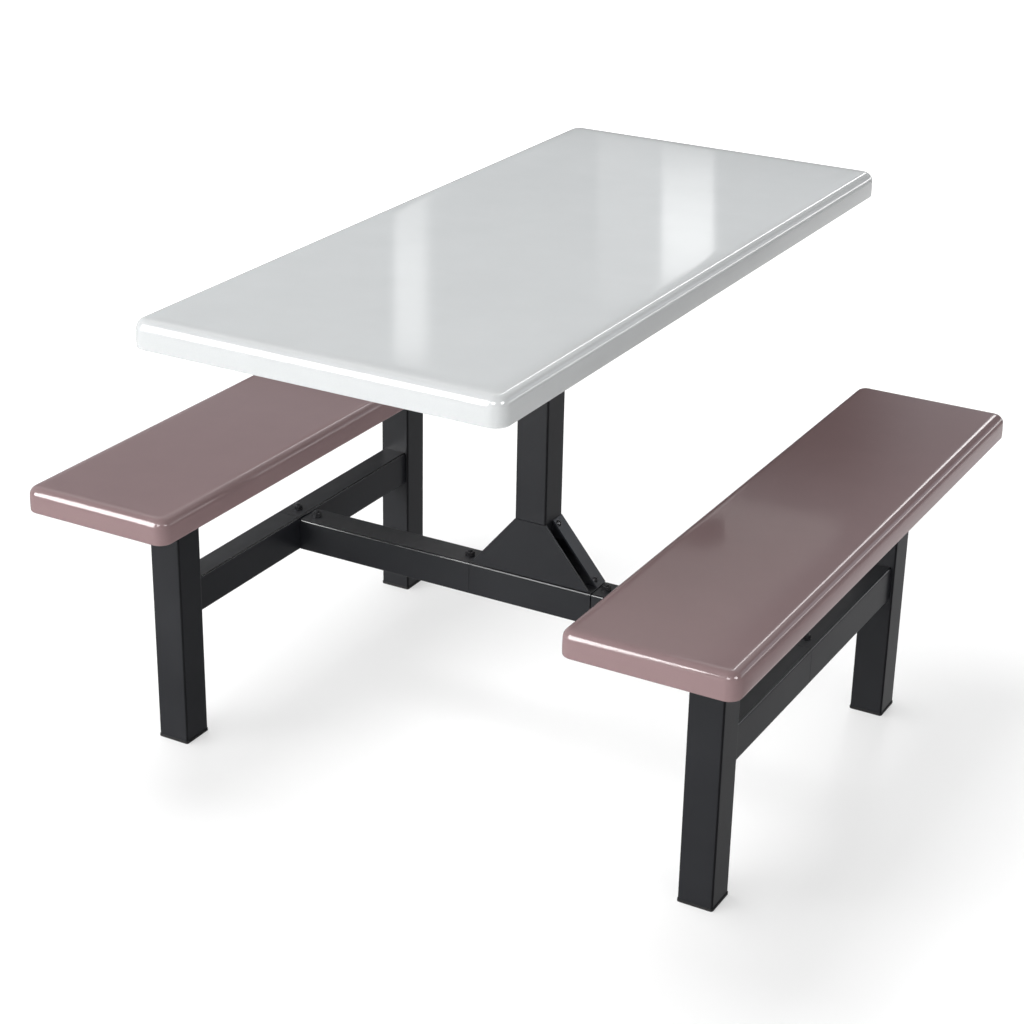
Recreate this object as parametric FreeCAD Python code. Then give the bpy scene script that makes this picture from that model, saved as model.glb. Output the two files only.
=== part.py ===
import FreeCAD, Part
import math
import os

# Canteen table with two attached bench seats on a bolted steel tube frame.
# Millimetres. Origin at the middle of the floor footprint, +Z up.
# The table and the seats run along Y, the crossbar runs along X.

os.makedirs("parts", exist_ok=True)

V = FreeCAD.Vector

# ---------------------------------------------------------------- driving sizes
TOP_H = 750.0            # table surface above the floor
TOP_L = 1150.0           # table length, along Y
TOP_W = 520.0            # table width, along X
TOP_T = 38.0             # table slab thickness
TOP_CORNER = 20.0        # plan radius of the slab corners
TOP_EDGE = 14.0          # radius of the upper edge

SEAT_H = 438.0           # seat surface above the floor
SEAT_L = 980.0
SEAT_W = 234.0
SEAT_T = 36.0
SEAT_X = 409.0           # middle of a seat from the middle of the table
SEAT_CORNER = 18.0
SEAT_EDGE = 13.0

SKIN = 4.0               # glass fibre skin
BACKING = 3.0            # balancing panel under the core
LOWER_EDGE = 2.0         # radius of the lower edge of the skin

TUBE = 50.0              # square tube of the legs, crossbar and post
WALL = 3.0
TUBE_R = 3.0             # outer corner radius of the tubes
BORE_R = 1.0             # inner corner radius of the tubes
SPIGOT_R = 2.0           # corner radius of the tubes that slide inside

LEG_X = 420.0
LEG_Y = 304.0
FOOT_T = 4.0             # flange of a foot cap
FOOT_W = 52.0

RAIL_W = 40.0            # rail between the two legs of a side
RAIL_H = 54.0
RAIL_TOP = 247.0         # its underside is level with the crossbar's
RAIL_SPLICE_Y = -25.0    # butt joint of the two rail lengths
SLEEVE_HALF = 75.0       # half length of the sleeve inside the rail

BAR_TOP = 243.0          # top of the crossbar
BAR_SEAM = 100.0         # half length of the middle piece of the crossbar
SEAM_GAP = {"left": 0.5, "right": 1.9}   # joint gaps beside the middle piece
RAIL_GAP = 0.7           # joint gap of the rail splice
POST_GAP = 0.9           # joint gap between the gusset and the post
PLATE_GAP = 1.8          # gap under the front gusset plate
SPIGOT_OUT = 152.0       # how far the middle spigots reach
SPIGOT_IN = 40.0         # where they start inside the middle piece
RAIL_SPIGOT_L = 46.0
BOLT_X_MID = 113.0       # bolts beside the middle piece
BOLT_X_END = 385.0       # bolts beside the rails

GUSSET_H = 89.0
GUSSET_T = 3.0
GUSSET_FLANGE_Y = -1.0   # free edge of the rear gusset's sloping flanges
BLOCK_Y0, BLOCK_Y1 = 0.5, 20.0
GUSSET_BOLT_Y = 6.5
GUSSET_BOLT_TOP = 8.0    # along the slope, from its upper end
GUSSET_BOLT_LOW = 11.0   # along the slope, from its lower end

POST_SPIGOT_TOP = 400.0
PLATE_T = 6.0            # post top plate
PLATE_X, PLATE_Y = 50.0, 180.0
SPINE_W, SPINE_H, SPINE_L = 50.0, 30.0, 780.0
ARM_W, ARM_H, ARM_L = 30.0, 30.0, 220.0
BEARER_WALL = 2.0
TAB_T = 3.0

SEAT_PLATE_T = 5.0
SEAT_PLATE_X, SEAT_PLATE_Y = 110.0, 110.0

M8_R, M8_HOLE = 4.0, 4.5
M8_AF, M8_HEAD = 12.0, 5.3
NUT_H, STUD_OUT = 5.0, 3.2   # top nut, and the rounded bolt end standing out of it
WASHER_R, WASHER_T = 7.8, 1.6
M5_R, M5_HOLE = 2.5, 2.75

# ---------------------------------------------------------------- helpers
nodes = {}


def put(name, *solids):
    nodes[name] = solids[0] if len(solids) == 1 else Part.makeCompound(solids)


def box(x0, x1, y0, y1, z0, z1):
    return Part.makeBox(x1 - x0, y1 - y0, z1 - z0, V(x0, y0, z0))


def edges_along(shape, axis):
    out = []
    for e in shape.Edges:
        if len(e.Vertexes) != 2:
            continue
        d = e.Vertexes[1].Point - e.Vertexes[0].Point
        c = [abs(d.x), abs(d.y), abs(d.z)]
        if c[axis] > 1e-6 and sum(c) - c[axis] < 1e-6:
            out.append(e)
    return out


def rbox(x0, x1, y0, y1, z0, z1, axis, r):
    b = box(x0, x1, y0, y1, z0, z1)
    return b.makeFillet(r, edges_along(b, axis))


def tube(x0, x1, y0, y1, z0, z1, axis, wall, ro, ri):
    """Closed section tube along an axis: 0 is X, 1 is Y, 2 is Z."""
    outer = rbox(x0, x1, y0, y1, z0, z1, axis, ro)
    lo, hi = [x0, y0, z0], [x1, y1, z1]
    for k in range(3):
        if k == axis:
            lo[k] -= 1.0
            hi[k] += 1.0
        else:
            lo[k] += wall
            hi[k] -= wall
    inner = rbox(lo[0], hi[0], lo[1], hi[1], lo[2], hi[2], axis, ri)
    return outer.cut(inner)


def cyl(p, d, r, h):
    return Part.makeCylinder(r, h, V(*p), V(*d))


def hexagon(p, d, af, h, turn=0.0):
    """Hexagon from p along d, its outer corners turned off at 30 degrees."""
    r = af / math.sqrt(3.0)
    pts = [V(r * math.cos(turn + k * math.pi / 3), r * math.sin(turn + k * math.pi / 3), 0) for k in range(7)]
    body = Part.Face(Part.makePolygon(pts)).extrude(V(0, 0, h))
    flat = af * 0.46
    slope = math.tan(math.radians(30.0))
    drop = (r + 2.0 - flat) * slope
    prof = [V(0, 0, -1), V(r + 2.0, 0, -1), V(r + 2.0, 0, h - drop), V(flat, 0, h), V(0, 0, h), V(0, 0, -1)]
    turned = Part.Face(Part.makePolygon(prof)).revolve(V(0, 0, 0), V(0, 0, 1), 360)
    if turned.ShapeType != "Solid":
        turned = Part.Solid(turned) if turned.ShapeType == "Shell" else turned.Solids[0]
    body = body.common(turned)
    if body.Solids:
        body = body.Solids[0]
    rot = FreeCAD.Rotation(V(0, 0, 1), V(*d))
    body.Placement = FreeCAD.Placement(V(*p), rot)
    return body


def one(shape):
    shape = shape.removeSplitter()
    if len(shape.Solids) == 1:
        return shape.Solids[0]
    return shape


# ---------------------------------------------------------------- moulded slabs
def slab(prefix, cx, w, length, t, top, corner, edge):
    x0, x1 = cx - w / 2, cx + w / 2
    y0, y1 = -length / 2, length / 2
    z0, z1 = top - t, top
    outer = rbox(x0, x1, y0, y1, z0, z1, 2, corner)
    rim = [e for e in outer.Edges if all(abs(v.Z - z1) < 1e-6 for v in e.Vertexes)]
    outer = outer.makeFillet(edge, rim)
    rim = [e for e in outer.Edges if all(abs(v.Z - z0) < 1e-6 for v in e.Vertexes)]
    outer = outer.makeFillet(LOWER_EDGE, rim)
    cavity = rbox(x0 + SKIN, x1 - SKIN, y0 + SKIN, y1 - SKIN, z0 - 5, z1 - SKIN, 2, corner - SKIN)
    rim = [e for e in cavity.Edges if all(abs(v.Z - (z1 - SKIN)) < 1e-6 for v in e.Vertexes)]
    cavity = cavity.makeFillet(edge - SKIN, rim)
    shell = outer.cut(cavity)
    put(prefix + "_shell", one(shell))
    # the core touches the skin on its flat faces only
    core = rbox(x0 + SKIN, x1 - SKIN, y0 + SKIN, y1 - SKIN, z0 + BACKING, z1 - SKIN, 2, corner - SKIN + 3)
    rim = [e for e in core.Edges if all(abs(v.Z - (z1 - SKIN)) < 1e-6 for v in e.Vertexes)]
    core = core.makeChamfer(edge - SKIN + 1.0, rim)
    panel = rbox(x0 + SKIN, x1 - SKIN, y0 + SKIN, y1 - SKIN, z0, z0 + BACKING, 2, corner - SKIN + 3)
    return core, panel, z0


top_core, top_panel, top_under = slab("tabletop", 0.0, TOP_W, TOP_L, TOP_T, TOP_H, TOP_CORNER, TOP_EDGE)
lseat_core, lseat_panel, seat_under = slab("left_seat", -SEAT_X, SEAT_W, SEAT_L, SEAT_T, SEAT_H, SEAT_CORNER, SEAT_EDGE)
rseat_core, rseat_panel, _ = slab("right_seat", SEAT_X, SEAT_W, SEAT_L, SEAT_T, SEAT_H, SEAT_CORNER, SEAT_EDGE)

# ---------------------------------------------------------------- legs, feet, seat plates
leg_top = seat_under - SEAT_PLATE_T
h = TUBE / 2
screw_holes = {"left": [], "right": []}
seat_screws = {"left": [], "right": []}
for side, sx in (("left", -1), ("right", 1)):
    for end, sy in (("near", -1), ("far", 1)):
        x, y = sx * LEG_X, sy * LEG_Y
        put(side + "_" + end + "_leg",
            one(tube(x - h, x + h, y - h, y + h, FOOT_T, leg_top, 2, WALL, TUBE_R, BORE_R)))
        # foot cap: flange under the tube and a hollow plug inside it
        f = FOOT_W / 2
        cap = rbox(x - f, x + f, y - f, y + f, 0, FOOT_T, 2, TUBE_R + 1.0)
        low = [e for e in cap.Edges if all(abs(v.Z) < 1e-6 for v in e.Vertexes)]
        cap = cap.makeChamfer(0.8, low)
        p = h - WALL
        plug = rbox(x - p, x + p, y - p, y + p, FOOT_T, FOOT_T + 18, 2, SPIGOT_R)
        q = p - 3.0
        plug = plug.cut(box(x - q, x + q, y - q, y + q, FOOT_T, FOOT_T + 20))
        put(side + "_" + end + "_foot_cap", one(cap.fuse(plug)))
        # plate on the leg's top, screwed up into the seat core
        cx = sx * SEAT_X
        px0, px1 = cx - SEAT_PLATE_X / 2, cx + SEAT_PLATE_X / 2
        py0, py1 = y - SEAT_PLATE_Y / 2, y + SEAT_PLATE_Y / 2
        plate = rbox(px0, px1, py0, py1, leg_top, seat_under, 2, 8.0)
        for ax in (px0 + 12, px1 - 12):
            for ay in (py0 + 12, py1 - 12):
                plate = plate.cut(cyl((ax, ay, leg_top - 1), (0, 0, 1), 2.8, SEAT_PLATE_T + 2))
                screw_holes[side].append((ax, ay))
                head = Part.makeCylinder(4.75, 2.6, V(ax, ay, leg_top - 2.6))
                rim = [e for e in head.Edges if all(abs(v.Z - (leg_top - 2.6)) < 1e-6 for v in e.Vertexes)]
                head = head.makeFillet(1.8, rim)
                shank = cyl((ax, ay, leg_top - 0.5), (0, 0, 1), 2.4, 26.5)
                drive = cyl((ax, ay, leg_top - 2.7), (0, 0, 1), 1.4, 1.6)
                seat_screws[side].append(one(head.fuse(shank).cut(drive)))
        put(side + "_" + end + "_seat_plate", one(plate))
    put(side + "_seat_screws", *seat_screws[side])

for side, core, panel in (("left", lseat_core, lseat_panel), ("right", rseat_core, rseat_panel)):
    for ax, ay in screw_holes[side]:
        hole = cyl((ax, ay, seat_under - 1), (0, 0, 1), 2.45, 24.0)
        core = core.cut(hole)
        panel = panel.cut(hole)
    put(side + "_seat_core", one(core))
    put(side + "_seat_backing_panel", one(panel))

# ---------------------------------------------------------------- rails and their splice
rail_bot = RAIL_TOP - RAIL_H
bar_bot = BAR_TOP - TUBE
bolts, washers, nuts = [], [], []


def top_bolt(x, y, z, grip, turn):
    """Stud bolt through a tube wall and the tube inside it: a nut below, a washer and a nut on top,
    and the rounded end of the stud standing out."""
    washers.append(cyl((x, y, z), (0, 0, 1), WASHER_R, WASHER_T).cut(cyl((x, y, z - 1), (0, 0, 1), M8_R + 0.3, 5)))
    end = z + WASHER_T + NUT_H + STUD_OUT
    crown = 6.0
    dome = Part.makeSphere(crown, V(x, y, end - crown))
    shank = cyl((x, y, z - grip - 9.0), (0, 0, 1), M8_R, end - (z - grip - 9.0))
    tip = cyl((x, y, end - 2.2), (0, 0, 1), M8_R, 2.2).common(dome)
    bolts.append(one(shank.cut(cyl((x, y, end - 2.2), (0, 0, 1), M8_R + 1, 5)).fuse(tip)))
    bore = cyl((x, y, z - grip - 12), (0, 0, 1), M8_R + 0.05, grip + 40)
    nuts.append(one(hexagon((x, y, z - grip), (0, 0, -1), M8_AF, 6.5, turn).cut(bore)))
    nuts.append(one(hexagon((x, y, z + WASHER_T), (0, 0, 1), M8_AF, NUT_H, turn).cut(bore)))


def bolt_hole(x, y, z, depth):
    return cyl((x, y, z - depth), (0, 0, 1), M8_HOLE, depth + 5)


GRIP = 2 * WALL
for side, sx in (("left", -1), ("right", 1)):
    x = sx * LEG_X
    x0, x1 = x - RAIL_W / 2, x + RAIL_W / 2
    ya, yb = -LEG_Y + h, LEG_Y - h
    near = tube(x0, x1, ya, RAIL_SPLICE_Y - RAIL_GAP, rail_bot, RAIL_TOP, 1, WALL, TUBE_R, BORE_R)
    far = tube(x0, x1, RAIL_SPLICE_Y, yb, rail_bot, RAIL_TOP, 1, WALL, TUBE_R, BORE_R)
    far = far.cut(bolt_hole(x, 0, RAIL_TOP, WALL + 1))
    put(side + "_rail_near_length", one(near))
    put(side + "_rail_far_length", one(far))
    sleeve = tube(x0 + WALL, x1 - WALL, -SLEEVE_HALF, SLEEVE_HALF, rail_bot + WALL, RAIL_TOP - WALL,
                  1, WALL, SPIGOT_R, BORE_R)
    sleeve = sleeve.cut(bolt_hole(x, 0, RAIL_TOP - WALL, WALL + 1))
    put(side + "_rail_splice_sleeve", one(sleeve))
    top_bolt(x, 0.0, RAIL_TOP, GRIP, 0.3)

# ---------------------------------------------------------------- crossbar
s = h - WALL
rail_face = LEG_X - RAIL_W / 2
centre = tube(-BAR_SEAM, BAR_SEAM, -h, h, bar_bot, BAR_TOP, 0, WALL, TUBE_R, BORE_R)
put("crossbar_middle", one(centre))
for side, sx in (("left", -1), ("right", 1)):
    xa, xb = sorted((sx * (BAR_SEAM + SEAM_GAP[side]), sx * rail_face))
    arm = tube(xa, xb, -h, h, bar_bot, BAR_TOP, 0, WALL, TUBE_R, BORE_R)
    arm = arm.cut(bolt_hole(sx * BOLT_X_MID, 0, BAR_TOP, WALL + 1))
    arm = arm.cut(bolt_hole(sx * BOLT_X_END, 0, BAR_TOP, WALL + 1))
    put(side + "_crossbar_arm", one(arm))
    xa, xb = sorted((sx * SPIGOT_IN, sx * SPIGOT_OUT))
    sp = tube(xa, xb, -s, s, bar_bot + WALL, BAR_TOP - WALL, 0, WALL, SPIGOT_R, BORE_R)
    sp = sp.cut(bolt_hole(sx * BOLT_X_MID, 0, BAR_TOP - WALL, WALL + 1))
    put(side + "_middle_spigot", one(sp))
    xa, xb = sorted((sx * rail_face, sx * (rail_face - RAIL_SPIGOT_L)))
    sp = tube(xa, xb, -s, s, bar_bot + WALL, BAR_TOP - WALL, 0, WALL, SPIGOT_R, BORE_R)
    sp = sp.cut(bolt_hole(sx * BOLT_X_END, 0, BAR_TOP - WALL, WALL + 1))
    put(side + "_rail_spigot", one(sp))
    top_bolt(sx * BOLT_X_END, 0.0, BAR_TOP, GRIP, 0.9)
    top_bolt(sx * BOLT_X_MID, 0.0, BAR_TOP, GRIP, 0.55)

put("frame_bolts", *bolts)
put("frame_washers", *washers)
put("frame_nuts", *nuts)

# ---------------------------------------------------------------- post foot and gusset
z0, z1 = BAR_TOP, BAR_TOP + GUSSET_H
post_bot = z1 + POST_GAP
run = BAR_SEAM - 1.0 - h
length = math.hypot(run, GUSSET_H)
nx, nz = GUSSET_H / length, run / length          # outward normal of the right slope
tx, tz = run / length, -GUSSET_H / length         # down the right slope
bx = BAR_SEAM - 1.0


def prism(pts, y0, y1):
    pts = [V(px, y0, pz) for px, pz in pts]
    return Part.Face(Part.makePolygon(pts + [pts[0]])).extrude(V(0, y1 - y0, 0))


trapezium = [(-bx, z0), (bx, z0), (h, z1), (-h, z1)]
zf = z0 + PLATE_GAP
bf = bx - run * PLATE_GAP / GUSSET_H
put("front_gusset_plate", one(prism([(-bf, zf), (bf, zf), (h, z1), (-h, z1)], -h, -h + GUSSET_T)))

rear = prism(trapezium, h - GUSSET_T, h)
spigot_box = box(-s, s, -s, s, z0, z1 + 1)
flange_holes, blocks_up, blocks_low, gusset_screws = [], [], [], []
for sx in (-1, 1):
    strip = [(bx, z0), (h, z1), (h - GUSSET_T / nx, z1), (bx - GUSSET_T / nx, z0)]
    strip = [(sx * px, pz) for px, pz in strip]
    flange = prism(strip, GUSSET_FLANGE_Y, h - GUSSET_T).cut(spigot_box)
    rear = rear.fuse(flange)
for sx in (-1, 1):
    inner_c = bx * nx - GUSSET_T                  # nx*x + nz*(z - z0) = inner_c is the flange's inner face

    def inner_x(z):
        return (inner_c - nz * (z - z0)) / nx

    def inner_z(x):
        return z0 + (inner_c - nx * x) / nz

    zt = inner_z(s)
    up = prism([(sx * s, zt), (sx * s, zt - 27), (sx * inner_x(zt - 27), zt - 27)], BLOCK_Y0, BLOCK_Y1)
    xl = 70.0
    low = prism([(sx * xl, z0), (sx * inner_x(z0), z0), (sx * xl, inner_z(xl))], BLOCK_Y0, BLOCK_Y1)
    for k, (d0, block) in enumerate(((GUSSET_BOLT_TOP, up), (length - GUSSET_BOLT_LOW, low))):
        px, pz = h + tx * d0, z1 + tz * d0
        p = (sx * px, GUSSET_BOLT_Y, pz)
        d = (-sx * nx, 0, -nz)
        start = (p[0] - d[0] * 2, p[1], p[2] - d[2] * 2)
        rear = rear.cut(cyl(start, d, M5_HOLE, GUSSET_T + 2))
        rear = rear if not rear.Solids else rear.Solids[0]
        block = block.cut(cyl(start, d, M5_R + 0.05, 2 + GUSSET_T + 6.2))
        # button head screw standing on the flange
        head = Part.makeSphere(5.4, V(0, 0, -2.55)).common(Part.makeCylinder(4.75, 6, V(0, 0, 0)))
        socket = [V(1.73 * math.cos(k * math.pi / 3), 1.73 * math.sin(k * math.pi / 3), 1.2) for k in range(7)]
        head = head.cut(Part.Face(Part.makePolygon(socket)).extrude(V(0, 0, 3)))
        shank = Part.makeCylinder(M5_R, GUSSET_T + 5.5 + 0.4, V(0, 0, -(GUSSET_T + 5.5)))
        screw = one(head.fuse(shank))
        screw.Placement = FreeCAD.Placement(V(*p), FreeCAD.Rotation(V(0, 0, 1), V(sx * nx, 0, nz)))
        gusset_screws.append(screw)
        (blocks_up if k == 0 else blocks_low).append(one(block))
put("rear_gusset_channel", one(rear))
put("upper_gusset_blocks", *blocks_up)
put("lower_gusset_blocks", *blocks_low)
put("gusset_screws", *gusset_screws)

put("post_base_spigot", one(tube(-s, s, -s, s, z0, POST_SPIGOT_TOP, 2, WALL, SPIGOT_R, BORE_R)))

# ---------------------------------------------------------------- post, top plate, bearers
spine_bot = top_under - SPINE_H
plate_bot = spine_bot - PLATE_T
put("post_tube", one(tube(-h, h, -h, h, post_bot, plate_bot, 2, WALL, TUBE_R, BORE_R)))

plate = rbox(-PLATE_X / 2, PLATE_X / 2, -PLATE_Y / 2, PLATE_Y / 2, plate_bot, spine_bot, 2, 5.0)
spine = tube(-SPINE_W / 2, SPINE_W / 2, -SPINE_L / 2, SPINE_L / 2, spine_bot, top_under, 1, BEARER_WALL, 2.5, 1.0)
pb, pw, pn = [], [], []
for y in (-68.0, 68.0):
    plate = plate.cut(cyl((0, y, plate_bot - 1), (0, 0, 1), M8_HOLE, PLATE_T + 2))
    spine = spine.cut(cyl((0, y, spine_bot - 1), (0, 0, 1), M8_HOLE, BEARER_WALL + 2))
    pw.append(cyl((0, y, plate_bot - WASHER_T), (0, 0, 1), WASHER_R, WASHER_T)
              .cut(cyl((0, y, plate_bot - 5), (0, 0, 1), M8_R + 0.3, 9)))
    head = hexagon((0, y, plate_bot - WASHER_T), (0, 0, -1), M8_AF, M8_HEAD, 0.2)
    shank = cyl((0, y, plate_bot - WASHER_T - 0.5), (0, 0, 1), M8_R, 0.5 + WASHER_T + PLATE_T + BEARER_WALL + 9)
    pb.append(one(head.fuse(shank)))
    nut = hexagon((0, y, spine_bot + BEARER_WALL), (0, 0, 1), M8_AF, 6.5, 0.2)
    pn.append(one(nut.cut(cyl((0, y, spine_bot - 1), (0, 0, 1), M8_R + 0.05, 20))))
put("post_top_plate", one(plate))
put("tabletop_spine_bearer", one(spine))
put("top_plate_bolts", *pb)
put("top_plate_washers", *pw)
put("top_plate_nuts", *pn)

plugs, tabs, top_screws, top_holes = [], [], [], []
for end, sy in (("near", -1), ("far", 1)):
    ya, yb = sorted((sy * SPINE_L / 2, sy * (SPINE_L / 2 + ARM_W)))
    arm = tube(-ARM_L / 2, ARM_L / 2, ya, yb, top_under - ARM_H, top_under, 0, BEARER_WALL, 2.5, 1.0)
    put(end + "_cross_bearer", one(arm))
    for sx in (-1, 1):
        xa, xb = sorted((sx * ARM_L / 2, sx * (ARM_L / 2 + 2.5)))
        cap = rbox(xa, xb, ya + 0.3, yb - 0.3, top_under - ARM_H + 0.3, top_under - 0.3, 0, 2.2)
        xc, xd = sorted((sx * ARM_L / 2, sx * (ARM_L / 2 - 12)))
        w = BEARER_WALL
        body = rbox(xc, xd, ya + w, yb - w, top_under - ARM_H + w, top_under - w, 0, 1.6)
        plugs.append(one(cap.fuse(body)))
    # screw tabs along the inner side of the arm
    yt0, yt1 = sorted((sy * SPINE_L / 2, sy * (SPINE_L / 2 - 24)))
    for tx0 in (-88.0, -48.0, 48.0, 88.0):
        tab = rbox(tx0 - 15, tx0 + 15, yt0, yt1, top_under - TAB_T, top_under, 2, 4.0)
        ym = (yt0 + yt1) / 2
        tab = tab.cut(cyl((tx0, ym, top_under - TAB_T - 1), (0, 0, 1), 2.8, TAB_T + 2))
        tabs.append(one(tab))
        top_holes.append((tx0, ym))
for sx in (-1, 1):
    for y in (-200.0, 200.0):
        xa, xb = sorted((sx * SPINE_W / 2, sx * (SPINE_W / 2 + 24)))
        tab = rbox(xa, xb, y - 15, y + 15, top_under - TAB_T, top_under, 2, 4.0)
        xm = (xa + xb) / 2
        tab = tab.cut(cyl((xm, y, top_under - TAB_T - 1), (0, 0, 1), 2.8, TAB_T + 2))
        tabs.append(one(tab))
        top_holes.append((xm, y))
for ax, ay in top_holes:
    zt = top_under - TAB_T
    head = Part.makeCylinder(4.75, 2.6, V(ax, ay, zt - 2.6))
    rim = [e for e in head.Edges if all(abs(v.Z - (zt - 2.6)) < 1e-6 for v in e.Vertexes)]
    head = head.makeFillet(1.8, rim)
    shank = cyl((ax, ay, zt - 0.5), (0, 0, 1), 2.4, 27.5)
    top_screws.append(one(head.fuse(shank).cut(cyl((ax, ay, zt - 2.7), (0, 0, 1), 1.4, 1.6))))
    hole = cyl((ax, ay, top_under - 1), (0, 0, 1), 2.45, 27.0)
    top_core = top_core.cut(hole)
    top_panel = top_panel.cut(hole)
put("bearer_end_plugs", *plugs)
put("bearer_screw_tabs", *tabs)
put("tabletop_screws", *top_screws)
put("tabletop_core", one(top_core))
put("tabletop_backing_panel", one(top_panel))

# ---------------------------------------------------------------- export
for name, shape in nodes.items():
    if not shape.isValid():
        print("invalid", name)
    for sol in shape.Solids:
        if sol.Volume <= 0:
            print("volume", name, sol.Volume)
    shape.exportStep("parts/" + name + ".step")
print(len(nodes), "nodes", sum(len(n.Solids) for n in nodes.values()), "solids")
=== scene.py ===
import math

import bmesh
import bpy
from mathutils import Matrix, Quaternion, Vector


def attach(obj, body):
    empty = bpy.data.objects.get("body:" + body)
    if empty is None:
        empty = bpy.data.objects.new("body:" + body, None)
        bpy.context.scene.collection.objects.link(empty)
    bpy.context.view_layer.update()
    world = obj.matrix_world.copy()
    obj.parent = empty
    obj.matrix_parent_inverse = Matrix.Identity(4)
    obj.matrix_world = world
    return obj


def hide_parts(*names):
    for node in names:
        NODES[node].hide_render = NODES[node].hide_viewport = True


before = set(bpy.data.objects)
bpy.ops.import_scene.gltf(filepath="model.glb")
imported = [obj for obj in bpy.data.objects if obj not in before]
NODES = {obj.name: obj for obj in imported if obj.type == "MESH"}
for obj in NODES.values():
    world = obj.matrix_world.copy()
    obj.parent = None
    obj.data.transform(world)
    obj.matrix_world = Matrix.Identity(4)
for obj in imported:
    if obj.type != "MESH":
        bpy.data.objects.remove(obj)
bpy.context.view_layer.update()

scene = bpy.context.scene
MM = 0.001


# ------------------------------------------------------------------ camera
def camera_axes(az, el, roll):
    a, e, r = math.radians(az), math.radians(el), math.radians(roll)
    back = Vector((math.sin(a) * math.cos(e), -math.cos(a) * math.cos(e), math.sin(e)))
    right = Vector((math.cos(a), math.sin(a), 0.0))
    up = back.cross(right)
    r2 = right * math.cos(r) + up * math.sin(r)
    u2 = -right * math.sin(r) + up * math.cos(r)
    return r2, u2, back


CAM_AT = Vector((1.38531, -2.58004, 1.6275))
CAM_R, CAM_U, CAM_B = camera_axes(28.98, 23.77, 1.10)
CAM_F = 2225.78

cam_data = bpy.data.cameras.new("camera")
cam = bpy.data.objects.new("camera", cam_data)
scene.collection.objects.link(cam)
cam_data.sensor_width = 36.0
cam_data.lens = CAM_F * 36.0 / 1024.0
cam_data.clip_start, cam_data.clip_end = 0.05, 200.0
rot = Matrix((CAM_R, CAM_U, CAM_B)).transposed()
cam.matrix_world = Matrix.Translation(CAM_AT) @ rot.to_4x4()
scene.camera = cam


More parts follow.
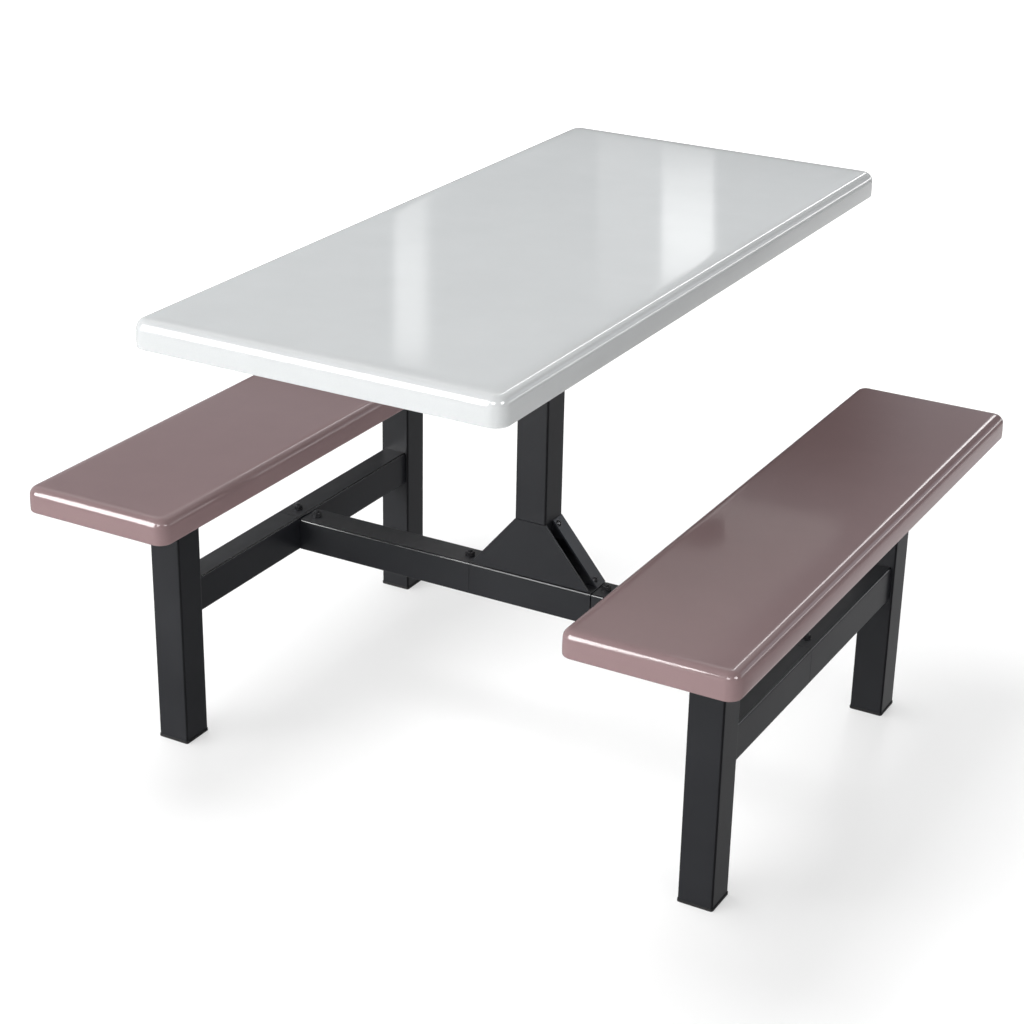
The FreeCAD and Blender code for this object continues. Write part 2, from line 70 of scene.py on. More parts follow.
# ------------------------------------------------------------------ node helpers
class Mat:
    """A small builder for node materials."""

    def __init__(self, name):
        self.m = bpy.data.materials.new(name)
        self.m.use_nodes = True
        self.t = self.m.node_tree
        self.t.nodes.clear()
        self.out = self.t.nodes.new("ShaderNodeOutputMaterial")
        self.b = self.t.nodes.new("ShaderNodeBsdfPrincipled")
        self.link(self.b.outputs[0], self.out.inputs["Surface"])
        self.tc = self.t.nodes.new("ShaderNodeTexCoord")
        self.geo = None

    def link(self, a, b):
        self.t.links.new(a, b)

    def put(self, sock, v):
        if isinstance(v, bpy.types.NodeSocket):
            self.link(v, sock)
        elif isinstance(v, (tuple, list)) and len(v) == 3 and sock.type == "RGBA":
            sock.default_value = (*v, 1.0)
        else:
            sock.default_value = v

    def set(self, **kw):
        for k, v in kw.items():
            self.put(self.b.inputs[k.replace("_", " ")], v)

    def obj(self):
        return self.tc.outputs["Object"]

    def scaled(self, sx, sy, sz, rot=(0, 0, 0), off=(0, 0, 0)):
        n = self.t.nodes.new("ShaderNodeMapping")
        self.link(self.obj(), n.inputs["Vector"])
        n.inputs["Scale"].default_value = (sx, sy, sz)
        n.inputs["Rotation"].default_value = rot
        n.inputs["Location"].default_value = off
        return n.outputs[0]

    def noise(self, scale, detail=2.0, rough=0.5, vec=None, dist=0.0, out="Fac"):
        n = self.t.nodes.new("ShaderNodeTexNoise")
        self.link(vec or self.obj(), n.inputs["Vector"])
        n.inputs["Scale"].default_value = scale
        n.inputs["Detail"].default_value = detail
        n.inputs["Roughness"].default_value = rough
        n.inputs["Distortion"].default_value = dist
        return n.outputs[out]

    def voronoi(self, scale, feature="F1", vec=None, out="Distance", rnd=1.0):
        n = self.t.nodes.new("ShaderNodeTexVoronoi")
        n.feature = feature
        self.link(vec or self.obj(), n.inputs["Vector"])
        n.inputs["Scale"].default_value = scale
        if "Randomness" in n.inputs:
            n.inputs["Randomness"].default_value = rnd
        return n.outputs[out]

    def wave(self, scale, dist=0.0, detail=2.0, vec=None, direction="X", dscale=1.0):
        n = self.t.nodes.new("ShaderNodeTexWave")
        n.bands_direction = direction
        self.link(vec or self.obj(), n.inputs["Vector"])
        n.inputs["Scale"].default_value = scale
        n.inputs["Distortion"].default_value = dist
        n.inputs["Detail"].default_value = detail
        n.inputs["Detail Scale"].default_value = dscale
        return n.outputs["Fac"]

    def math(self, op, a, b=0.0, c=0.0, clamp=False):
        n = self.t.nodes.new("ShaderNodeMath")
        n.operation = op
        n.use_clamp = clamp
        self.put(n.inputs[0], a)
        self.put(n.inputs[1], b)
        self.put(n.inputs[2], c)
        return n.outputs[0]

    def remap(self, v, a, b, c=0.0, d=1.0, smooth=False):
        n = self.t.nodes.new("ShaderNodeMapRange")
        n.interpolation_type = "SMOOTHSTEP" if smooth else "LINEAR"
        self.put(n.inputs["Value"], v)
        n.inputs["From Min"].default_value = a
        n.inputs["From Max"].default_value = b
        n.inputs["To Min"].default_value = c
        n.inputs["To Max"].default_value = d
        return n.outputs["Result"]

    def ramp(self, v, stops):
        n = self.t.nodes.new("ShaderNodeValToRGB")
        self.put(n.inputs["Fac"], v)
        els = n.color_ramp.elements
        while len(els) < len(stops):
            els.new(0.5)
        for e, (p, col) in zip(els, stops):
            e.position = p
            e.color = (*col, 1.0) if len(col) == 3 else col
        return n.outputs["Color"]

    def mix(self, f, a, b, mode="MIX"):
        n = self.t.nodes.new("ShaderNodeMix")
        n.data_type = "RGBA"
        n.blend_type = mode
        self.put(n.inputs["Factor"], f)
        self.put(n.inputs[6], a)
        self.put(n.inputs[7], b)
        return n.outputs[2]

    def mixf(self, f, a, b):
        n = self.t.nodes.new("ShaderNodeMix")
        n.data_type = "FLOAT"
        self.put(n.inputs[0], f)
        self.put(n.inputs[2], a)
        self.put(n.inputs[3], b)
        return n.outputs[0]

    def bump(self, height, strength, distance, normal=None):
        n = self.t.nodes.new("ShaderNodeBump")
        n.inputs["Strength"].default_value = strength
        n.inputs["Distance"].default_value = distance
        self.put(n.inputs["Height"], height)
        if normal is not None:
            self.link(normal, n.inputs["Normal"])
        return n.outputs[0]

    def sep(self, v):
        n = self.t.nodes.new("ShaderNodeSeparateXYZ")
        self.link(v, n.inputs[0])
        return n.outputs

    def normal(self):
        """The surface normal in the object's own frame."""
        return self.tc.outputs["Normal"]

    def corner_mask(self, lo=0.03, hi=0.16):
        """1 on the rounded corners of straight tubes, 0 on their flats."""
        s = self.sep(self.normal())
        ax = [self.math("ABSOLUTE", s[i]) for i in range(3)]
        top = self.math("MAXIMUM", self.math("MAXIMUM", ax[0], ax[1]), ax[2])
        off = self.math("SUBTRACT", 1.0, top)
        return self.remap(off, lo, hi, 0.0, 1.0, smooth=True), ax, s


# ------------------------------------------------------------------ materials
def gelcoat(name, base, seed, gloss, ior, level):
    """Moulded glass-fibre skin: glossy pigmented gelcoat with faint print-through,
    hairline scratches and a few duller smears."""
    m = Mat(name)
    off = (seed * 1.37, seed * 0.61, seed * 0.23)
    big = m.noise(2.1, 3.0, 0.5, m.scaled(1, 1, 1, off=off))
    mid = m.noise(17.0, 4.0, 0.55, m.scaled(1, 1, 1, off=off))
    speck = m.noise(900.0, 2.0, 0.6)
    tone = m.math("ADD", m.math("MULTIPLY", big, 0.6), m.math("MULTIPLY", mid, 0.4))
    dark = tuple(c * 0.965 for c in base)
    light = tuple(min(1.0, c * 1.03) for c in base)
    col = m.ramp(tone, [(0.3, dark), (0.7, light)])
    fine = m.remap(speck, 0.35, 0.65, 0.985, 1.015)
    col = m.mix(1.0, col, m.mix(1.0, (1, 1, 1), fine, "MULTIPLY"), "MULTIPLY")
    # hairline scratches: stretched noise bands in two directions, thin and sparse
    s1 = m.noise(1.0, 0.0, 0.5, m.scaled(900.0, 26.0, 40.0, rot=(0, 0, 0.35), off=off))
    s2 = m.noise(1.0, 0.0, 0.5, m.scaled(30.0, 1100.0, 40.0, rot=(0, 0, -0.22), off=off))
    patch = m.remap(m.noise(6.0, 2.0, 0.5, m.scaled(1, 1, 1, off=off)), 0.5, 0.68, 0.0, 1.0)
    hair = m.math("MAXIMUM", m.remap(s1, 0.74, 0.80, 0.0, 1.0), m.remap(s2, 0.75, 0.81, 0.0, 1.0))
    hair = m.math("MULTIPLY", hair, patch)
    smear = m.remap(m.noise(5.5, 5.0, 0.62, m.scaled(1.0, 0.6, 1.0, off=off), dist=0.6), 0.45, 0.75, 0.0, 1.0)
    rough = m.math("ADD", gloss, m.math("MULTIPLY", smear, 0.022))
    rough = m.math("ADD", rough, m.math("MULTIPLY", mid, 0.012))
    rough = m.math("ADD", rough, m.math("MULTIPLY", hair, 0.16))
    # orange peel and a long, very shallow moulding waviness
    peel = m.noise(210.0, 2.0, 0.5)
    wavy = m.noise(9.0, 1.0, 0.4, m.scaled(1, 1, 1, off=off))
    n = m.bump(wavy, 0.09, 0.0006)
    n = m.bump(peel, 0.12, 0.00006, n)
    n = m.bump(hair, 0.25, 0.00002, n)
    m.set(Base_Color=col, Roughness=rough, IOR=ior, Specular_IOR_Level=level, Normal=n)
    return m.m


def powder_coat(name, corners=True, seed=0.0, edge=0.19, painted_light_lift=1.0):
    """Satin black powder coat: fine orange peel, painted shade drawing dark lines along the tube corners,
    light handling scuffs and a trace of dust on what faces up."""
    m = Mat(name)
    off = (seed, seed * 0.7, seed * 0.4)
    cloud = m.noise(7.0, 4.0, 0.55, m.scaled(1, 1, 1, off=off))
    grain = m.noise(1300.0, 2.0, 0.55)
    # the lift factor scales the base colour; above 1 it is painted light that makes the coat look lit
    base = m.ramp(cloud, [(0.3, (0.0105 * painted_light_lift, 0.0113 * painted_light_lift, 0.0145 * painted_light_lift)), (0.75, (0.0135 * painted_light_lift, 0.0145 * painted_light_lift, 0.0182 * painted_light_lift))])
    s = m.sep(m.normal())
    up = m.remap(s[2], 0.75, 0.98, 0.0, 1.0, smooth=True)
    dust = m.math("MULTIPLY", up, m.remap(m.noise(26.0, 5.0, 0.6), 0.42, 0.72, 0.0, 1.0))
    base = m.mix(m.math("MULTIPLY", dust, 0.02), base, (0.20, 0.19, 0.18))
    # scuffs low on the legs
    pos = m.sep(m.obj())
    low = m.remap(pos[2], 0.02, 0.16, 1.0, 0.0)
    sc = m.noise(1.0, 1.0, 0.5, m.scaled(55.0, 55.0, 900.0, rot=(0.12, 0.1, 0.0), off=off))
    sc = m.math("MULTIPLY", m.remap(sc, 0.74, 0.8, 0.0, 1.0), m.math("MULTIPLY", low, m.remap(cloud, 0.45, 0.6, 0.0, 1.0)))
    base = m.mix(m.math("MULTIPLY", sc, 0.25), base, (0.09, 0.09, 0.095))
    rough = m.math("ADD", 0.34, m.math("MULTIPLY", cloud, 0.10))
    rough = m.math("ADD", rough, m.math("MULTIPLY", dust, 0.10))
    rough = m.math("ADD", rough, m.math("MULTIPLY", sc, 0.12))
    if corners:
        mask, ax, _ = m.corner_mask()
        vertical = m.math("MULTIPLY", mask, m.remap(ax[2], 0.05, 0.3, 1.0, 0.0))
        level = m.math("SUBTRACT", mask, vertical)
        # painted shade: the base colour on the rounded tube corners is darkened to draw dark edge lines
        base = m.mix(m.math("MULTIPLY", mask, 0.85), base, (0.0035, 0.0037, 0.0045))
        rough = m.mixf(level, rough, edge)
    peel = m.noise(520.0, 3.0, 0.55)
    n = m.bump(peel, 0.16, 0.00012)
    n = m.bump(grain, 0.10, 0.00003, n)
    m.set(Base_Color=base, Roughness=rough, IOR=1.5, Specular_IOR_Level=0.34, Normal=n)
    return m.m


def fastener(name):
    """Black-oxide steel: slightly metallic, oily sheen, brighter rubbed spots."""
    m = Mat(name)
    cloud = m.noise(300.0, 3.0, 0.6)
    fine = m.noise(1900.0, 2.0, 0.6)
    base = m.ramp(cloud, [(0.35, (0.024, 0.024, 0.027)), (0.58, (0.046, 0.046, 0.050)), (0.78, (0.13, 0.127, 0.125))])
    rough = m.remap(cloud, 0.3, 0.8, 0.36, 0.2)
    n = m.bump(fine, 0.25, 0.00004)
    m.set(Base_Color=base, Roughness=rough, Metallic=0.55, Specular_IOR_Level=0.5, Normal=n)
    return m.m


def foot_plastic(name):
    """Moulded black plastic with a fine spark-eroded texture and floor scuffs."""
    m = Mat(name)
    grain = m.noise(1500.0, 2.0, 0.6)
    cloud = m.noise(60.0, 4.0, 0.6)
    pos = m.sep(m.obj())
    scuff = m.math("MULTIPLY", m.remap(pos[2], 0.0005, 0.003, 1.0, 0.0), m.remap(cloud, 0.5, 0.7, 0.0, 1.0))
    base = m.ramp(cloud, [(0.3, (0.0065, 0.0065, 0.007)), (0.7, (0.0095, 0.0095, 0.010))])
    base = m.mix(m.math("MULTIPLY", scuff, 0.12), base, (0.10, 0.10, 0.10))
    m.set(Base_Color=base, Roughness=m.remap(cloud, 0.3, 0.7, 0.46, 0.58), Specular_IOR_Level=0.4,
          Normal=m.bump(grain, 0.3, 0.00006))
    return m.m


def backing(name):
    """Balancing panel under the slabs: pale grey laminate with a fine linen texture."""
    m = Mat(name)
    a = m.wave(520.0, 2.0, 2.0, direction="X", dscale=0.4)
    b = m.wave(520.0, 2.0, 2.0, direction="Y", dscale=0.4)
    linen = m.math("MULTIPLY", m.math("ADD", a, b), 0.5)
    cloud = m.noise(9.0, 4.0, 0.55)
    speck = m.remap(m.noise(420.0, 1.0, 0.5), 0.66, 0.74, 0.0, 1.0)
    base = m.ramp(cloud, [(0.3, (0.68, 0.68, 0.66)), (0.7, (0.75, 0.75, 0.73))])
    base = m.mix(m.math("MULTIPLY", speck, 0.18), base, (0.45, 0.445, 0.43))
    m.set(Base_Color=base, Roughness=m.remap(linen, 0.0, 1.0, 0.5, 0.64), Specular_IOR_Level=0.4,
          Normal=m.bump(linen, 0.25, 0.00008))
    return m.m


def plywood(name):
    """Plywood core: stacked plies seen on the edges, long grain on the faces."""
    m = Mat(name)
    pos = m.sep(m.obj())
    ply = m.math("FRACT", m.math("MULTIPLY", pos[2], 1.0 / 0.0031))
    odd = m.remap(ply, 0.46, 0.54, 0.0, 1.0)
    grain = m.noise(1.0, 4.0, 0.6, m.scaled(160.0, 7.0, 160.0))
    fib = m.noise(1.0, 3.0, 0.6, m.scaled(900.0, 30.0, 900.0))
    face = m.ramp(m.math("ADD", m.math("MULTIPLY", grain, 0.7), m.math("MULTIPLY", fib, 0.3)),
                  [(0.3, (0.36, 0.23, 0.12)), (0.7, (0.55, 0.40, 0.24))])
    base = m.mix(m.math("MULTIPLY", odd, 0.45), face, (0.30, 0.18, 0.09))
    m.set(Base_Color=base, Roughness=m.remap(fib, 0.3, 0.7, 0.6, 0.78), Normal=m.bump(fib, 0.3, 0.0001))
    return m.m


MATS = {
    "top_gelcoat": gelcoat("top_gelcoat", (0.592, 0.607, 0.611), 1.0, 0.050, 1.48, 0.5),
    "seat_gelcoat": gelcoat("seat_gelcoat", (0.274, 0.189, 0.192), 2.7, 0.085, 1.48, 0.30),
    "core_board": plywood("core_board"),
    "backing_laminate": backing("backing_laminate"),
    "frame_powder_coat": powder_coat("frame_powder_coat"),
    "foot_plastic": foot_plastic("foot_plastic"),
    "black_fastener": fastener("black_fastener"),
}
MATS["gusset_powder_coat"] = powder_coat("gusset_powder_coat", corners=False, seed=3.1)
# rear gusset channel: the same coat with its base colour lifted 2.2 times, painted light so the channel reads as lit
MATS["channel_coat_painted_light"] = powder_coat("channel_coat_painted_light", corners=False, seed=4.4, painted_light_lift=2.2)
MATS["middle_powder_coat"] = powder_coat("middle_powder_coat", seed=1.3, edge=0.36)
MATS["arm_powder_coat"] = powder_coat("arm_powder_coat", seed=2.2, edge=0.10)


def slot_of(node):
    if node.endswith("_core"):
        return "core_board"
    if node.endswith("_backing_panel"):
        return "backing_laminate"
    if node == "tabletop_shell":
        return "top_gelcoat"
    if node.endswith("_seat_shell"):
        return "seat_gelcoat"
    if node.endswith("_foot_cap") or node == "bearer_end_plugs":
        return "foot_plastic"
    if any(w in node for w in ("bolts", "washers", "nuts", "screws")):
        return "black_fastener"
    return "frame_powder_coat"


for name, o in NODES.items():
    mat = MATS[slot_of(name)]
    if name == "front_gusset_plate":
        mat = MATS["gusset_powder_coat"]
    if name == "rear_gusset_channel":
        mat = MATS["channel_coat_painted_light"]
    if name == "crossbar_middle":
        mat = MATS["middle_powder_coat"]
    if name.endswith("_crossbar_arm"):
        mat = MATS["arm_powder_coat"]
    o.data.materials.clear()
    o.data.materials.append(mat)


# ------------------------------------------------------------------ mesh helpers
def new_object(name, bm, mat, smooth=True):
    me = bpy.data.meshes.new(name)
    bm.normal_update()
    bm.to_mesh(me)
    bm.free()
    if smooth:
        me.shade_smooth()
    me.materials.append(mat)
    o = bpy.data.objects.new(name, me)
    scene.collection.objects.link(o)
    return o


def outline(cx, cy, w, length, corner, inset, arcs=14, side_step=0.03):
    """A rounded rectangle as a closed list of (x, y), always the same number of points."""
    r = max(corner - inset, 0.006)
    hw, hl = w / 2 - inset, length / 2 - inset
    centres = [(hw - r, hl - r, 0), (-hw + r, hl - r, 90), (-hw + r, -hl + r, 180), (hw - r, -hl + r, 270)]
    nx = max(2, int(round((w - 2 * corner) / side_step)))
    ny = max(2, int(round((length - 2 * corner) / side_step)))
    pts = []
    for k, (ax, ay, a0) in enumerate(centres):
        for i in range(arcs + 1):
            a = math.radians(a0 + 90.0 * i / arcs)
            pts.append((cx + ax + r * math.cos(a), cy + ay + r * math.sin(a)))
        bx, by, b0 = centres[(k + 1) % 4]
        end = (cx + bx + r * math.cos(math.radians(b0)), cy + by + r * math.sin(math.radians(b0)))
        start = pts[-1]
        n = nx if k % 2 == 0 else ny
        for i in range(1, n):
            t = i / n
            pts.append((start[0] + (end[0] - start[0]) * t, start[1] + (end[1] - start[1]) * t))
    return pts


def slab_shell(name, cx, w, length, t, top, corner, edge, skin, lower, reach, mat):
    """Hollow moulded tray: the top rolls off a little before its rounded edge, the sides are slightly
    crowned, and below come a small lower edge, a flat lip and the inner cavity."""
    z0 = top - t
    a0, a1, a2 = math.radians(6.0), math.radians(86.5), math.radians(92.0)
    dip = reach * math.tan(a0) / 3.0
    side = t - dip - edge - lower
    up = side * 0.62
    shy = 0.5 * up * math.tan(math.pi / 2 - a1)
    start = shy + edge * (math.sin(a1) - math.sin(a0))
    prof = [(start + reach + 0.004, top)]
    for i in range(9):
        s = 1.0 - i / 8.0
        prof.append((start + reach * s, top - dip * (1.0 - s) ** 3))
    n = 24
    for i in range(1, n + 1):
        a = a0 + (a1 - a0) * i / n
        prof.append((shy + edge * (math.sin(a1) - math.sin(a)), top - dip - edge * (math.cos(a0) - math.cos(a))))
    zs = prof[-1][1]
    zb = z0 + lower
    for i in range(1, 7):
        d = (zs - zb) * i / 6.0
        if d <= up:
            inset = shy * (1.0 - d / up) ** 2
        else:
            inset = 0.5 * math.tan(a2 - math.pi / 2) * (d - up) ** 2 / (zs - zb - up)
        prof.append((inset, zs - d))
    foot = prof[-1][0]
    for i in range(1, 7):
        a = math.pi / 2 * i / 6
        prof.append((foot + lower - lower * math.cos(a), z0 + lower - lower * math.sin(a)))
    prof.append((skin - 0.0003, z0))
    prof.append((skin, z0 + 0.0002))
    r = edge - skin
    zt = top - skin
    prof.append((skin, zt - r))
    for i in range(1, 9):
        a = math.pi / 2 * i / 8
        prof.append((skin + r - r * math.cos(a), zt - r + r * math.sin(a)))
    bm = bmesh.new()
    rings = []
    for inset, z in prof:
        rings.append([bm.verts.new((x, y, z)) for x, y in outline(cx, 0.0, w, length, corner, inset)])
    for a, b in zip(rings, rings[1:]):
        m = len(a)
        for i in range(m):
            j = (i + 1) % m
            bm.faces.new((a[i], b[i], b[j], a[j]))
    bm.faces.new(rings[0])
    bm.faces.new(list(reversed(rings[-1])))
    bmesh.ops.recalc_face_normals(bm, faces=bm.faces)
    return new_object(name, bm, mat)


TOP = dict(cx=0.0, w=0.520, length=1.150, t=0.038, top=0.750, corner=0.020, edge=0.014, reach=0.024)
SEAT = dict(w=0.234, length=0.980, t=0.036, top=0.438, corner=0.018, edge=0.013, reach=0.009)
for label, node, kw, slot in (
    ("tabletop_moulded_skin", "tabletop_shell", dict(TOP), "top_gelcoat"),
    ("left_seat_moulded_skin", "left_seat_shell", dict(SEAT, cx=-0.409), "seat_gelcoat"),
    ("right_seat_moulded_skin", "right_seat_shell", dict(SEAT, cx=0.409), "seat_gelcoat"),
):
    o = slab_shell(label, skin=0.004, lower=0.002, mat=MATS[slot], **kw)
    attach(o, "root")
    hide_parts(node)


# ------------------------------------------------------------------ stage
def floor_material():
    """Pale studio floor with painted light: it glows, less near the object and more away from it, with a small painted
    pool of light under the middle of the table.
    """
    m = Mat("studio_floor")
    cloud = m.noise(1.3, 3.0, 0.5)
    base = m.ramp(cloud, [(0.3, (0.445, 0.445, 0.445)), (0.7, (0.455, 0.455, 0.455))])
    pos = m.sep(m.obj())
    dist = m.math("SQRT", m.math("ADD", m.math("MULTIPLY", pos[0], pos[0]), m.math("MULTIPLY", pos[1], pos[1])))
    # painted light: floor emission rises from 0.49 near the object to 0.82 far off, plus a painted pool of light
    # within 0.45 m of the centre
    painted_floor_glow = m.math("ADD", m.remap(dist, 0.8, 2.6, 0.49, 0.82, smooth=True), m.remap(dist, 0.1, 0.45, 0.06, 0.0, smooth=True))
    m.set(Base_Color=base, Roughness=m.remap(cloud, 0.3, 0.7, 0.40, 0.46), Specular_IOR_Level=0.4,
          Emission_Color=(1.0, 1.0, 1.0), Emission_Strength=painted_floor_glow)
    return m.m


bm = bmesh.new()
S = 45.0
vs = [bm.verts.new((x, y, 0.0)) for x, y in ((-S, -S), (S, -S), (S, S), (-S, S))]
bm.faces.new(vs)
floor = new_object("studio_floor", bm, floor_material(), smooth=False)
floor.visible_glossy = False

world = bpy.data.worlds.new("studio")
scene.world = world
world.use_nodes = True
wt = world.node_tree
wt.nodes.clear()
wo = wt.nodes.new("ShaderNodeOutputWorld")
bg = wt.nodes.new("ShaderNodeBackground")
wc = wt.nodes.new("ShaderNodeTexCoord")
ws = wt.nodes.new("ShaderNodeSeparateXYZ")
wt.links.new(wc.outputs["Generated"], ws.inputs[0])
wh = wt.nodes.new("ShaderNodeMapRange")
wt.links.new(ws.outputs[2], wh.inputs["Value"])
wh.inputs["From Min"].default_value, wh.inputs["From Max"].default_value = -1.0, 1.0


def sky(mid):
    """Radiance over height. mid is the part between about 20 and 32 degrees of elevation."""
    n = wt.nodes.new("ShaderNodeValToRGB")
    n.color_ramp.interpolation = "EASE"
    e = n.color_ramp.elements
    stops = [(-1.0, 0.33), (-0.06, 0.33), (-0.01, 0.90), (0.12, 0.70), (0.19, 0.46), (0.30, 0.53)] + mid + [
        (0.57, 1.4), (0.71, 1.3), (0.82, 0.5), (1.0, 0.5)]
    while len(e) < len(stops):
        e.new(0.5)
    for k, (p, v) in zip(e, stops):
        k.position = (p + 1.0) / 2.0
        cool = 0.04 if 0.15 < p < 0.5 else 0.0
        k.color = (v / 2 * (1 - cool), v / 2, v / 2 * (1 + cool), 1.0)
    wt.links.new(wh.outputs["Result"], n.inputs["Fac"])
    return n.outputs["Color"]


# behind the left bench the room is lighter at that height than behind the right one
side = wt.nodes.new("ShaderNodeMapRange")
side.interpolation_type = "SMOOTHSTEP"
wt.links.new(ws.outputs[0], side.inputs["Value"])
side.inputs["From Min"].default_value, side.inputs["From Max"].default_value = -0.53, -0.40
both = wt.nodes.new("ShaderNodeMix")
both.data_type = "RGBA"
wt.links.new(side.outputs["Result"], both.inputs["Factor"])
wt.links.new(sky([(0.345, 0.52), (0.38, 0.36), (0.42, 0.36), (0.50, 0.80)]), both.inputs[6])
wt.links.new(sky([(0.345, 0.45), (0.375, 0.27), (0.48, 0.22), (0.52, 0.80)]), both.inputs[7])
# the room is darker on the right
wx = wt.nodes.new("ShaderNodeMapRange")
wx.interpolation_type = "SMOOTHSTEP"
wt.links.new(ws.outputs[0], wx.inputs["Value"])
wx.inputs["From Min"].default_value, wx.inputs["From Max"].default_value = -0.22, 0.60
wx.inputs["To Min"].default_value, wx.inputs["To Max"].default_value = 1.0, 0.30
wm = wt.nodes.new("ShaderNodeVectorMath")
wm.operation = "SCALE"
wt.links.new(both.outputs[2], wm.inputs[0])
wt.links.new(wx.outputs["Result"], wm.inputs["Scale"])
wt.links.new(wm.outputs[0], bg.inputs["Color"])
bg.inputs["Strength"].default_value = 2.0
wt.links.new(bg.outputs[0], wo.inputs["Surface"])


def toward(az, el):
    """Direction at an azimuth from +Y, clockwise seen from above, and an elevation."""
    a, e = math.radians(az), math.radians(el)
    return Vector((math.sin(a) * math.cos(e), math.cos(a) * math.cos(e), math.sin(e)))


def softbox(name, az, el, dist, w, h, radiance, gloss=True, diffuse=True, tint=(1, 1, 1),
            target=(0.0, 0.0, 0.45)):
    """Rectangular area light facing the object."""
    d = toward(az, el)
    data = bpy.data.lights.new(name, "AREA")
    data.shape = "RECTANGLE"
    data.size, data.size_y = w, h
    data.energy = radiance * math.pi * w * h
    data.color = tint
    o = bpy.data.objects.new(name, data)
    scene.collection.objects.link(o)
    o.location = Vector(target) + d * dist
    o.rotation_mode = "QUATERNION"
    o.rotation_quaternion = d.to_track_quat("Z", "Y")
    o.visible_camera = False
    o.visible_glossy = gloss
    o.visible_diffuse = diffuse
    return o


softbox("key_soft", -150.0, 29.5, 7.0, 7.0, 5.0, 2.8, gloss=False)
softbox("fill_right", 118.0, 44.0, 6.0, 4.0, 4.0, 0.9, gloss=False, tint=(1.0, 0.985, 0.965))
softbox("key_edge", -147.0, 21.0, 6.0, 3.0, 3.9, 30.0, diffuse=False)
softbox("corner_spark_near", 166.0, 35.0, 6.0, 2.4, 1.9, 18.0, diffuse=False)
softbox("corner_spark_right", 100.0, 31.0, 6.0, 2.1, 2.0, 22.0, diffuse=False)
floor_key = softbox("floor_key", -90.0, 73.0, 5.0, 2.4, 2.4, 8.2, gloss=False, target=(0.0, 0.0, 0.0))
on_floor = bpy.data.collections.new("floor_only")
on_floor.objects.link(floor)
floor_key.light_linking.receiver_collection = on_floor
floor_blockers = bpy.data.collections.new("floor_key_blockers")
for name, o in NODES.items():
    if not name.startswith("tabletop"):
        floor_blockers.objects.link(o)
for name in ("left_seat_moulded_skin", "right_seat_moulded_skin"):
    floor_blockers.objects.link(bpy.data.objects[name])
floor_key.light_linking.blocker_collection = floor_blockers
table_fill = softbox("table_fill", -150.0, 75.0, 6.0, 3.0, 3.0, 1.8, gloss=False)
on_table = bpy.data.collections.new("tabletop_only")
on_table.objects.link(bpy.data.objects["tabletop_moulded_skin"])
table_fill.light_linking.receiver_collection = on_table


def glow(name, corners, radiance, soft=(0.12, 0.25), fade=(0.35, 0.2), low=0.25, tint=(1, 1, 1)):
    """Glowing quad seen only in gloss, or a black one for radiance 0. Corners run lower left, lower right, upper right, upper left.
    soft fades its left and right edges, fade its lower and upper ends, as shares of its size."""
    me = bpy.data.meshes.new(name)
    me.from_pydata([tuple(c) for c in corners], [], [(0, 1, 2, 3)])
    uv = me.uv_layers.new(name="uv")
    for i, c in enumerate(((0, 0), (1, 0), (1, 1), (0, 1))):
        uv.data[i].uv = c
    o = bpy.data.objects.new(name, me)
    scene.collection.objects.link(o)
    m = bpy.data.materials.new(name)
    m.use_nodes = True
    t = m.node_tree
    t.nodes.clear()
    out = t.nodes.new("ShaderNodeOutputMaterial")
    em = t.nodes.new("ShaderNodeEmission")
    uvn = t.nodes.new("ShaderNodeUVMap")
    sp = t.nodes.new("ShaderNodeSeparateXYZ")
    t.links.new(uvn.outputs[0], sp.inputs[0])

    def edge(sock, lo, hi, a, b):
        n = t.nodes.new("ShaderNodeMapRange")
        n.interpolation_type = "SMOOTHSTEP"
        t.links.new(sock, n.inputs["Value"])
        n.inputs["From Min"].default_value, n.inputs["From Max"].default_value = lo, hi
        n.inputs["To Min"].default_value, n.inputs["To Max"].default_value = a, b
        return n.outputs["Result"]

    parts = [edge(sp.outputs[0], 0.0, soft[0], 0.0, 1.0), edge(sp.outputs[0], 1.0 - soft[1], 1.0, 1.0, 0.0),
             edge(sp.outputs[1], 0.0, fade[0], low, 1.0), edge(sp.outputs[1], 1.0 - fade[1], 1.0, 1.0, 0.0)]
    v = parts[0]
    for p in parts[1:] + [radiance if radiance > 0.0 else 1.0]:
        n = t.nodes.new("ShaderNodeMath")
        n.operation = "MULTIPLY"
        t.links.new(v, n.inputs[0])
        if isinstance(p, float):
            n.inputs[1].default_value = p
        else:
            t.links.new(p, n.inputs[1])
        v = n.outputs[0]
    t.links.new(v, em.inputs["Strength"])
    em.inputs["Color"].default_value = (*tint, 1.0)
    see = t.nodes.new("ShaderNodeBsdfTransparent")
    if radiance > 0.0:
        join = t.nodes.new("ShaderNodeAddShader")
        t.links.new(see.outputs[0], join.inputs[0])
        t.links.new(em.outputs[0], join.inputs[1])
    else:
        join = t.nodes.new("ShaderNodeMixShader")
        t.links.new(v, join.inputs[0])
        t.links.new(see.outputs[0], join.inputs[1])
        t.links.new(em.outputs[0], join.inputs[2])
        t.links.remove(em.inputs["Strength"].links[0])
        em.inputs["Strength"].default_value = 0.0
    t.links.new(join.outputs[0], out.inputs["Surface"])
    me.materials.append(m)
    o.visible_camera = False
    o.visible_diffuse = False
    o.visible_shadow = False
    return o


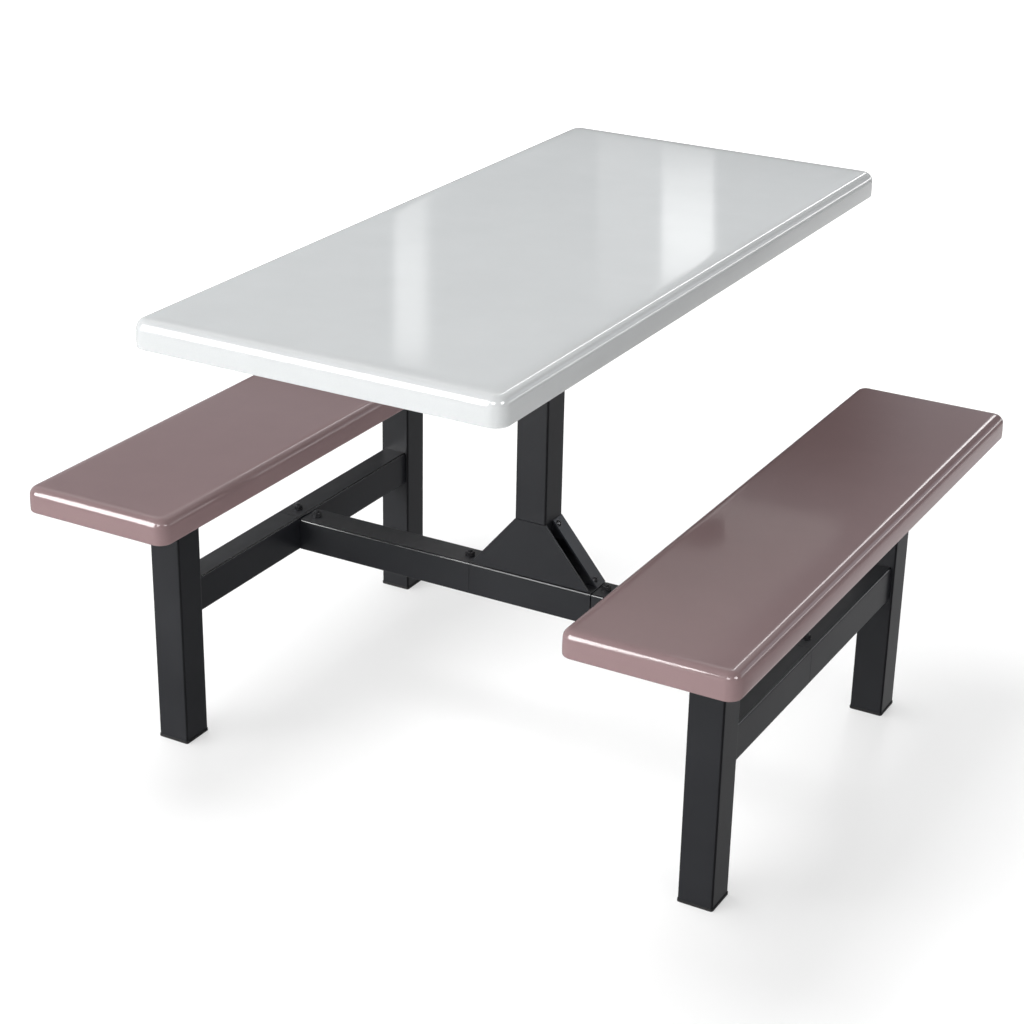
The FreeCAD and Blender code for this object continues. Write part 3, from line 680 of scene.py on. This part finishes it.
# Tall window-like panels far behind, seen only in the gloss of the tabletop.
def panel(name, x0, x1, y_far, y_near, radiance, soft=(0.12, 0.25), fade=(0.35, 0.2), low=0.25, dist=7.0):
    """Upright glowing panel placed where the tabletop plane mirrors the given part of the view."""
    mirror = Vector((CAM_AT.x, CAM_AT.y, 2 * 0.75 - CAM_AT.z))

    def at(x, y):
        d = CAM_R * (x - 512.0) + CAM_U * (512.0 - y) - CAM_B * CAM_F
        d.z = -d.z
        return mirror + d * (dist / math.hypot(d.x, d.y))

    return glow(name, [at(x0, y_far), at(x1, y_far), at(x1, y_near), at(x0, y_near)], radiance, soft, fade, low)


def strip(name, corners, radiance, dist=20.0, soft=(0.3, 0.3), fade=(0.3, 0.3), tint=(1, 1, 1)):
    """Distant glowing strip given by the azimuth and elevation of its corners."""
    return glow(name, [Vector((0, 0, 0.5)) + toward(a, e) * dist for a, e in corners], radiance, soft, fade, 0.0, tint)


panel("back_panel_left", 389.0, 436.0, 150.0, 384.0, 0.90, soft=(0.22, 0.40), fade=(0.6, 0.2), low=0.4)
panel("back_panel_right", 659.0, 716.0, 110.0, 336.0, 1.28, soft=(0.10, 0.08), fade=(0.68, 0.44), low=0.0, dist=7.2)
panel("back_panel_wide", 594.0, 718.0, 90.0, 340.0, 0.20, soft=(0.06, 0.05), fade=(0.2, 0.3), low=0.5, dist=7.4)
# Narrow strips that draw the thin lines along the rounded long edges.
strip("edge_strip_high", [(-12.0, 19.0), (-5.0, 19.0), (-15.0, 41.0), (-22.0, 41.0)], 7.0, fade=(0.05, 0.1))
strip("edge_strip_low", [(8.0, 2.5), (58.0, 2.5), (58.0, 10.0), (8.0, 10.0)], 4.5, soft=(0.1, 0.1))
strip("back_right_wall", [(18.0, 10.0), (48.0, 10.0), (48.0, 27.0), (18.0, 27.0)], 1.3, tint=(0.92, 1.0, 1.1))
strip("low_right_glow", [(4.0, -40.0), (28.0, -40.0), (28.0, -6.0), (4.0, -6.0)], 0.68, soft=(0.2, 0.45), fade=(0.2, 0.2))

# Black card behind the table, seen only in gloss, that keeps the crossbar and rail tops dark.
glow("black_flag", [Vector((-1.40, 0.95, 0.32)), Vector((0.28, 0.95, 0.32)), Vector((0.28, 0.95, 0.92)), Vector((-1.40, 0.95, 0.92))],
     0.0, soft=(0.1, 0.12), fade=(0.1, 0.3), low=0.0)

scene.view_settings.view_transform = "Standard"
scene.view_settings.look = "None"
scene.view_settings.exposure = 0.0
scene.view_settings.gamma = 1.0
